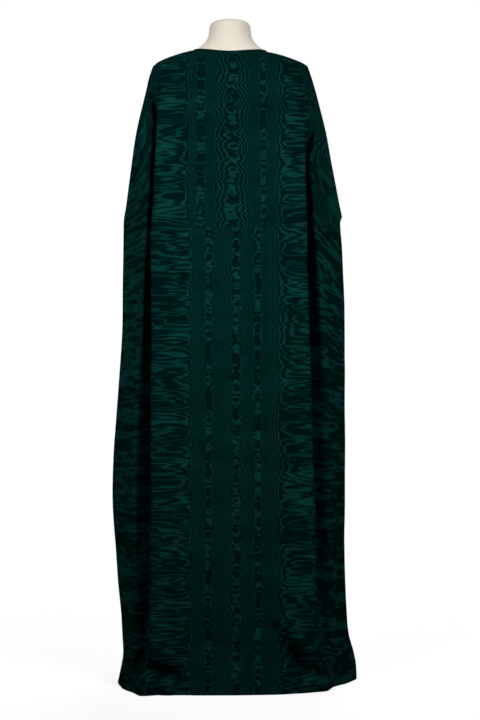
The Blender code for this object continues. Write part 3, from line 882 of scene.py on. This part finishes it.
def line_wander():
    """A node group for the small zigzags that neighbouring lines make together."""
    group = bpy.data.node_groups.get("Line wander")
    if group:
        return group
    group, inside, outside = new_group("Line wander", {"Seed": 0.0}, ("Shift",))
    nodes, links = group.nodes, group.links
    centred = stretched_noise(group, inside, (9.0, 85.0), 1.5, (-500, 0))
    parts = add_node(nodes, "ShaderNodeSeparateXYZ", (-500, 300))
    links.new(inside.outputs["Cloth"], parts.inputs[0])
    away = maths(nodes, links, "ABSOLUTE", (-300, 300),
                 maths(nodes, links, "SUBTRACT", (-400, 300), parts.outputs["X"], 0.008))
    reach = map_range(nodes, links, (-100, 300), away, (0.035, 0.060), (0.034, 0.011),
                      "SMOOTHSTEP")
    shift = maths(nodes, links, "MULTIPLY", (100, 0), centred, reach)
    links.new(shift, outside.inputs["Shift"])
    return group


def ribbed_weave():
    """A node group for the silk's fine crosswise ribs and its warp threads."""
    group = bpy.data.node_groups.get("Ribbed weave")
    if group:
        return group
    group, inside, outside = new_group("Ribbed weave", {"Ribs per metre": 900.0}, ("Height",))
    nodes, links = group.nodes, group.links
    parts = add_node(nodes, "ShaderNodeSeparateXYZ", (-600, 0))
    links.new(inside.outputs["Cloth"], parts.inputs[0])
    ribs = maths(nodes, links, "MULTIPLY", (-400, 100), parts.outputs["Y"],
                 inside.outputs["Ribs per metre"])
    ribs = maths(nodes, links, "SINE", (-250, 100),
                 maths(nodes, links, "MULTIPLY", (-320, 100), ribs, 2.0 * math.pi))
    warp = maths(nodes, links, "MULTIPLY", (-400, -100), parts.outputs["X"],
                 inside.outputs["Ribs per metre"])
    warp = maths(nodes, links, "SINE", (-250, -100),
                 maths(nodes, links, "MULTIPLY", (-320, -100), warp, 4.0 * math.pi))
    both = maths(nodes, links, "MULTIPLY_ADD", (0, 0), warp, 0.35, ribs)
    height = maths(nodes, links, "MULTIPLY_ADD", (200, 0), both, 0.25, 0.5)
    links.new(height, outside.inputs["Height"])
    return group


def band_curve(nodes, links, across, bands, column, low, high, place):
    """A Float Curve through the bands' values, read at a place across the cloth."""
    share = maths(nodes, links, "MULTIPLY_ADD", place, across, 0.5 / BAND_REACH, 0.5)
    curve = add_node(nodes, "ShaderNodeFloatCurve", (place[0] + 160, place[1]))
    track = curve.mapping.curves[0]
    spots = [((band.across + BAND_REACH) / (2.0 * BAND_REACH),
              (getattr(band, column) - low) / (high - low)) for band in bands]
    track.points[0].location = spots[0]
    track.points[1].location = spots[-1]
    for spot in spots[1:-1]:
        track.points.new(*spot)
    curve.mapping.extend = "HORIZONTAL"
    curve.mapping.update()
    links.new(share, curve.inputs["Value"])
    return maths(nodes, links, "MULTIPLY_ADD", (place[0] + 420, place[1]),
                 curve.outputs[0], high - low, low)


def silk_material(name, bands, seed, colours):
    """Dark green silk with the watered figure of one piece of the cloth."""
    material, nodes, links, shader = new_material(name)
    cloth = add_node(nodes, "ShaderNodeUVMap", (-1500, 0), uv_map="cloth")
    parts = add_node(nodes, "ShaderNodeSeparateXYZ", (-1300, 200))
    links.new(cloth.outputs[0], parts.inputs[0])
    wander = add_node(nodes, "ShaderNodeGroup", (-1300, 500), node_tree=line_wander())
    links.new(cloth.outputs[0], wander.inputs["Cloth"])
    wander.inputs["Seed"].default_value = seed
    across = maths(nodes, links, "ADD", (-1200, 300), parts.outputs["X"], wander.outputs["Shift"])
    figure = add_node(nodes, "ShaderNodeGroup", (-400, 200), node_tree=watered_figure())
    links.new(cloth.outputs[0], figure.inputs["Cloth"])
    for label, low, high, rise in (("Phase", -PHASE_REACH, PHASE_REACH, 300),
                                   ("Waver", 0.0, WAVER_REACH, 0),
                                   ("Strength", 0.0, 1.0, -300)):
        value = band_curve(nodes, links, across, bands, label.lower(), low, high, (-1100, rise))
        links.new(value, figure.inputs[label])
    figure.inputs["Seed"].default_value = seed
    weave = add_node(nodes, "ShaderNodeGroup", (-400, -250), node_tree=ribbed_weave())
    links.new(cloth.outputs[0], weave.inputs["Cloth"])
    # The figure's mask mixes the dark tone with the light tone, whose raised red paints a pale
    # sheen on the brightest lines.
    tone = mix_colour(nodes, links, (-150, 250), figure.outputs["Mask"],
                      colours.silk_dark, colours.silk_light_and_sheen)
    links.new(tone, shader.inputs["Base Color"])
    rough = maths(nodes, links, "MULTIPLY_ADD", (-150, 0), figure.outputs["Mask"], -0.16, 0.58)
    links.new(rough, shader.inputs["Roughness"])
    relief = maths(nodes, links, "MULTIPLY_ADD", (-220, -250), figure.outputs["Lines"], 0.6,
                   weave.outputs["Height"])
    links.new(bump_normal(nodes, links, (-60, -250), relief, 0.25, 0.0003),
              shader.inputs["Normal"])
    set_sockets(shader, {"Specular IOR Level": 0.0, "Sheen Weight": 0.018,
                         "Sheen Roughness": 0.35, "Sheen Tint": (0.05, 0.75, 0.64, 1.0)})
    return material


def canvas_material(colours):
    """Cream linen canvas with a plain weave and slight soiling."""
    material, nodes, links, shader = new_material("form_canvas_cover")
    place = add_node(nodes, "ShaderNodeTexCoord", (-1000, 0))
    threads = []
    for direction, rise in (("Z", 200), ("X", -50)):
        thread = add_node(nodes, "ShaderNodeTexWave", (-700, rise), wave_type="BANDS",
                          bands_direction=direction)
        set_sockets(thread, {"Scale": 210.0, "Distortion": 1.2, "Detail": 1.0})
        links.new(place.outputs["Object"], thread.inputs["Vector"])
        threads.append(thread.outputs["Fac"])
    soil = add_node(nodes, "ShaderNodeTexNoise", (-700, -300))
    set_sockets(soil, {"Scale": 14.0, "Detail": 4.0})
    links.new(place.outputs["Object"], soil.inputs["Vector"])
    weave = maths(nodes, links, "MULTIPLY", (-450, 100), *threads)
    blend = maths(nodes, links, "MULTIPLY_ADD", (-420, -120), soil.outputs["Fac"], 0.75,
                  maths(nodes, links, "MULTIPLY", (-560, 20), weave, 0.30))
    red, green, blue = colours.canvas
    tone = mix_colour(nodes, links, (-250, 150), blend,
                      (red * 0.90, green * 0.88, blue * 0.84),
                      (min(1.0, red * 1.06), min(1.0, green * 1.06), blue * 1.06))
    links.new(tone, shader.inputs["Base Color"])
    links.new(bump_normal(nodes, links, (-200, -250), weave, 0.35, 0.0004),
              shader.inputs["Normal"])
    set_sockets(shader, {"Roughness": 0.85, "Specular IOR Level": 0.25, "Sheen Weight": 0.10})
    return material


def steel_material(colours):
    """Satin painted steel with faint brushed unevenness."""
    material, nodes, links, shader = new_material("stand_satin_steel")
    place = add_node(nodes, "ShaderNodeTexCoord", (-800, 0))
    noise = add_node(nodes, "ShaderNodeTexNoise", (-600, 0))
    set_sockets(noise, {"Scale": 60.0, "Detail": 5.0})
    links.new(place.outputs["Object"], noise.inputs["Vector"])
    tone = mix_colour(nodes, links, (-300, 150), noise.outputs["Fac"],
                      [0.85 * c for c in colours.steel], [1.10 * c for c in colours.steel])
    links.new(tone, shader.inputs["Base Color"])
    rough = maths(nodes, links, "MULTIPLY_ADD", (-300, -100), noise.outputs["Fac"], 0.2, 0.28)
    links.new(rough, shader.inputs["Roughness"])
    shader.inputs["Metallic"].default_value = 0.85
    return material


def floor_material(colours):
    """A pale floor that takes a faint shadow near the part and is white farther off."""
    material, nodes, links, shader = new_material("stage_floor_white")
    set_sockets(shader, {"Roughness": 0.9, "Specular IOR Level": 0.0, "Emission Strength": 1.0})
    place = add_node(nodes, "ShaderNodeTexCoord", (-1100, 0))
    reach = add_node(nodes, "ShaderNodeVectorMath", (-900, 0), operation="LENGTH")
    links.new(place.outputs["Object"], reach.inputs[0])
    far = map_range(nodes, links, (-700, 0), reach.outputs["Value"], (0.35, 1.10), (0.0, 1.0),
                    "SMOOTHSTEP")
    seen = add_node(nodes, "ShaderNodeLightPath", (-700, -300))
    lit = maths(nodes, links, "MULTIPLY_ADD", (-600, -100), far, 0.18, 0.82)
    glow = maths(nodes, links, "MULTIPLY", (-450, -100), lit, seen.outputs["Is Camera Ray"])
    black, white = (0.0, 0.0, 0.0), (1.0, 1.0, 1.0)
    links.new(mix_colour(nodes, links, (-250, 200), far, colours.floor, black),
              shader.inputs["Base Color"])
    links.new(mix_colour(nodes, links, (-250, -100), glow, black, white),
              shader.inputs["Emission Color"])
    return material


def soft_light(lamp):
    light = bpy.data.lights.new(lamp.name, "AREA")
    light.size = lamp.size
    light.energy = lamp.power
    light.spread = math.radians(lamp.spread)
    thing = bpy.data.objects.new(lamp.name, light)
    thing.location = lamp.place
    run = Vector(lamp.aim) - Vector(lamp.place)
    thing.rotation_euler = run.to_track_quat("-Z", "Y").to_euler()
    bpy.context.collection.objects.link(thing)


def white_world(scene):
    """A backdrop that looks white and casts only a little cool light."""
    world = scene.world or bpy.data.worlds.new("World")
    scene.world = world
    world.use_nodes = True
    nodes, links = world.node_tree.nodes, world.node_tree.links
    nodes.clear()
    output = add_node(nodes, "ShaderNodeOutputWorld", (500, 0))
    seen = add_node(nodes, "ShaderNodeBackground", (0, 150))
    set_sockets(seen, {"Color": (1.0, 1.0, 1.0, 1.0), "Strength": 1.0})
    cast = add_node(nodes, "ShaderNodeBackground", (0, -50))
    set_sockets(cast, {"Color": (0.96, 0.98, 1.0, 1.0), "Strength": 0.07})
    sort = add_node(nodes, "ShaderNodeLightPath", (0, 400))
    either = add_node(nodes, "ShaderNodeMixShader", (250, 0))
    links.new(sort.outputs["Is Camera Ray"], either.inputs[0])
    links.new(cast.outputs[0], either.inputs[1])
    links.new(seen.outputs[0], either.inputs[2])
    links.new(either.outputs[0], output.inputs["Surface"])


class KAFTAN_OT_back(bpy.types.Operator):
    """Makes the back's two pieces, joined by a crosswise seam"""

    bl_idname = "kaftan.back"
    bl_label = "Back panels"
    bl_options = {"REGISTER", "UNDO"}

    def execute(self, context):
        sizes, colours = context.scene.kaftan_sizes, context.scene.kaftan_colours
        seam = BACK_SEAM_HEIGHT
        levels = ring_levels(0.0, seam - SEAM_CLEARANCE, sizes.ring_step)
        lower = cloth_panel("back_lower_silk", "back", levels, False, sizes.cloth)
        levels = ring_levels(seam + SEAM_CLEARANCE, CHEST_RING_HEIGHT, sizes.ring_step)
        upper = cloth_panel("back_upper_silk", "back", levels, True, sizes.cloth)
        lower.data.materials.append(silk_material("silk_lower", LOWER_BANDS, 4.0, colours))
        upper.data.materials.append(silk_material("silk_upper", UPPER_BANDS, 1.3, colours))
        stand_for(lower, "back_lower")
        stand_for(upper, "back_upper")
        return {"FINISHED"}


class KAFTAN_OT_front(bpy.types.Operator):
    """Makes the plain front"""

    bl_idname = "kaftan.front"
    bl_label = "Front panel"
    bl_options = {"REGISTER", "UNDO"}

    def execute(self, context):
        sizes, colours = context.scene.kaftan_sizes, context.scene.kaftan_colours
        levels = ring_levels(0.0, CHEST_RING_HEIGHT, sizes.ring_step)
        front = cloth_panel("front_silk", "front", levels, True, sizes.cloth)
        front.data.materials.append(silk_material("silk_front", LOWER_BANDS, 8.6, colours))
        stand_for(front, "front")
        return {"FINISHED"}


class KAFTAN_OT_binding(bpy.types.Operator):
    """Makes the rolled edge round the neckline"""

    bl_idname = "kaftan.binding"
    bl_label = "Neck binding"
    bl_options = {"REGISTER", "UNDO"}

    def execute(self, context):
        sizes, colours = context.scene.kaftan_sizes, context.scene.kaftan_colours
        columns = range(0, QUARTER + 1, 3)
        edge = [neck_point("back", +1, column) for column in columns]
        edge += [neck_point("front", +1, column) for column in reversed(columns[:-1])]
        edge += [neck_point("front", -1, column) for column in columns[1:]]
        edge += [neck_point("back", -1, column) for column in reversed(columns[1:-1])]
        curve = bpy.data.curves.new("neck_binding_roll", "CURVE")
        curve.dimensions = "3D"
        curve.bevel_depth = sizes.binding
        curve.bevel_resolution = 3
        line = curve.splines.new("POLY")
        line.points.add(len(edge) - 1)
        line.use_cyclic_u = True
        lift = sizes.binding + BINDING_LIFT
        for spot, point in zip(line.points, edge):
            inward = Vector((-point.x, -point.y, 0.0)).normalized()
            place = point + inward * 0.35 * lift + Vector((0.0, 0.0, 0.95 * lift))
            spot.co = (*place, 1.0)
        roll = bpy.data.objects.new("neck_binding_silk", curve)
        context.collection.objects.link(roll)
        select_only(roll)
        bpy.ops.object.convert(target="MESH")
        roll = context.object
        uv = roll.data.uv_layers.new(name="cloth")
        for loop in roll.data.loops:
            spot = roll.data.vertices[loop.vertex_index].co
            uv.data[loop.index].uv = (spot.x, spot.y + spot.z)
        roll.data.shade_smooth()
        roll.data.materials.append(silk_material("silk_binding", LOWER_BANDS, 12.0, colours))
        stand_for(roll, "neck_binding")
        return {"FINISHED"}


class KAFTAN_OT_form(bpy.types.Operator):
    """Covers the dress form in canvas and finishes its stand"""

    bl_idname = "kaftan.form"
    bl_label = "Dress form and stand"
    bl_options = {"REGISTER", "UNDO"}

    def execute(self, context):
        colours = context.scene.kaftan_colours
        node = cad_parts["dress_form"]
        cover = bpy.data.objects.new("dress_form_cover", node.data.copy())
        context.collection.objects.link(cover)
        select_only(cover)
        bpy.ops.object.mode_set(mode="EDIT")
        bpy.ops.mesh.select_all(action="SELECT")
        bpy.ops.mesh.remove_doubles(threshold=0.00002)
        bpy.ops.mesh.tris_convert_to_quads()
        bpy.ops.object.mode_set(mode="OBJECT")
        smooth = cover.modifiers.new("smooth", "SUBSURF")
        smooth.levels = 2
        smooth.render_levels = 2
        bpy.ops.object.modifier_apply(modifier=smooth.name)
        cover.data.shade_smooth()
        cover.data.materials.clear()
        cover.data.materials.append(canvas_material(colours))
        stand_for(cover, "dress_form")
        steel = steel_material(colours)
        for name in ("stand_pole", "stand_base"):
            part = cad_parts[name]
            for slot in part.material_slots:
                slot.material = steel
        return {"FINISHED"}


class KAFTAN_OT_stage(bpy.types.Operator):
    """Makes the floor, the light and the camera"""

    bl_idname = "kaftan.stage"
    bl_label = "Stage"
    bl_options = {"REGISTER", "UNDO"}

    def execute(self, context):
        colours = context.scene.kaftan_colours
        bpy.ops.mesh.primitive_plane_add(size=60.0, location=(0.0, 0.0, 0.0))
        floor = context.object
        floor.name = "stage_floor"
        floor.data.materials.append(floor_material(colours))
        for lamp in LAMPS:
            soft_light(lamp)
        white_world(context.scene)
        lens = bpy.data.cameras.new("camera")
        lens.sensor_width = CAMERA_SENSOR
        lens.lens = CAMERA_LENS
        camera = bpy.data.objects.new("camera", lens)
        camera.location = CAMERA_PLACE
        camera.rotation_euler = (0.5 * math.pi, 0.0, 0.0)
        context.collection.objects.link(camera)
        context.scene.camera = camera
        context.scene.view_settings.view_transform = "Standard"
        return {"FINISHED"}


class KAFTAN_PT_panel(bpy.types.Panel):
    bl_label = "Moire kaftan"
    bl_idname = "KAFTAN_PT_panel"
    bl_space_type = "VIEW_3D"
    bl_region_type = "UI"
    bl_category = "Kaftan"

    def draw(self, context):
        layout = self.layout
        for group in (context.scene.kaftan_sizes, context.scene.kaftan_colours):
            box = layout.box()
            for name in group.bl_rna.properties.keys():
                if name not in ("rna_type", "name"):
                    box.prop(group, name)
        for operator in STEPS:
            layout.operator(operator.bl_idname)


STEPS = (KAFTAN_OT_stage, KAFTAN_OT_form, KAFTAN_OT_back, KAFTAN_OT_front, KAFTAN_OT_binding)
CLASSES = (KaftanSizes, KaftanColours, *STEPS, KAFTAN_PT_panel)


def register():
    for entry in CLASSES:
        bpy.utils.register_class(entry)
    bpy.types.Scene.kaftan_sizes = bpy.props.PointerProperty(type=KaftanSizes)
    bpy.types.Scene.kaftan_colours = bpy.props.PointerProperty(type=KaftanColours)


def unregister():
    del bpy.types.Scene.kaftan_colours
    del bpy.types.Scene.kaftan_sizes
    for entry in reversed(CLASSES):
        bpy.utils.unregister_class(entry)


def main():
    register()
    bpy.ops.kaftan.stage()
    bpy.ops.kaftan.form()
    bpy.ops.kaftan.back()
    bpy.ops.kaftan.front()
    bpy.ops.kaftan.binding()


if __name__ == "__main__":
    main()
